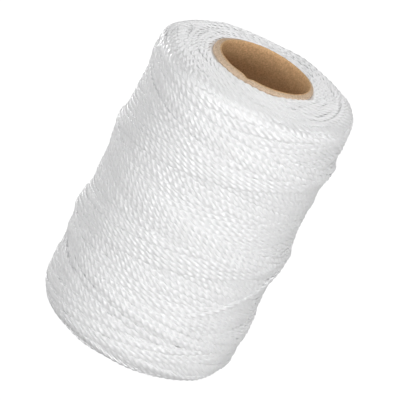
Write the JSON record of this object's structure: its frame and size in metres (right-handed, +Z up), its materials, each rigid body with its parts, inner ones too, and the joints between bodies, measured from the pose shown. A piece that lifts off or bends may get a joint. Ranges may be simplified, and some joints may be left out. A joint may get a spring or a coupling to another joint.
{
  "type": "twine reel",
  "caption": "Cross-wound package of white twisted twine on a plain paper tube with an open bore, made to stand on its rim or turn on a spindle.",
  "frame": {"origin": "centre of the tube's lower rim, on the surface that the reel stands on", "axes": "+Z up along the tube's axis, towards the end whose rim stands out of the upper shoulder; +X to the right and -Y towards the viewer"},
  "size_m": [0.0748, 0.0748, 0.11],
  "materials": {
    "kraft_liner": "matte",
    "tube_board": "matte",
    "tube_board_outer": "matte",
    "twine": "satin"
  },
  "bodies": {
    "root": {"tube_liner_ply": "kraft_liner", "tube_board_ply_1": "tube_board", "tube_board_ply_2": "tube_board", "tube_board_ply_3": "tube_board", "tube_outer_ply": "tube_board_outer", "twine_package": "twine", "twine_outer_turns": "twine"}
  },
  "joints": []
}
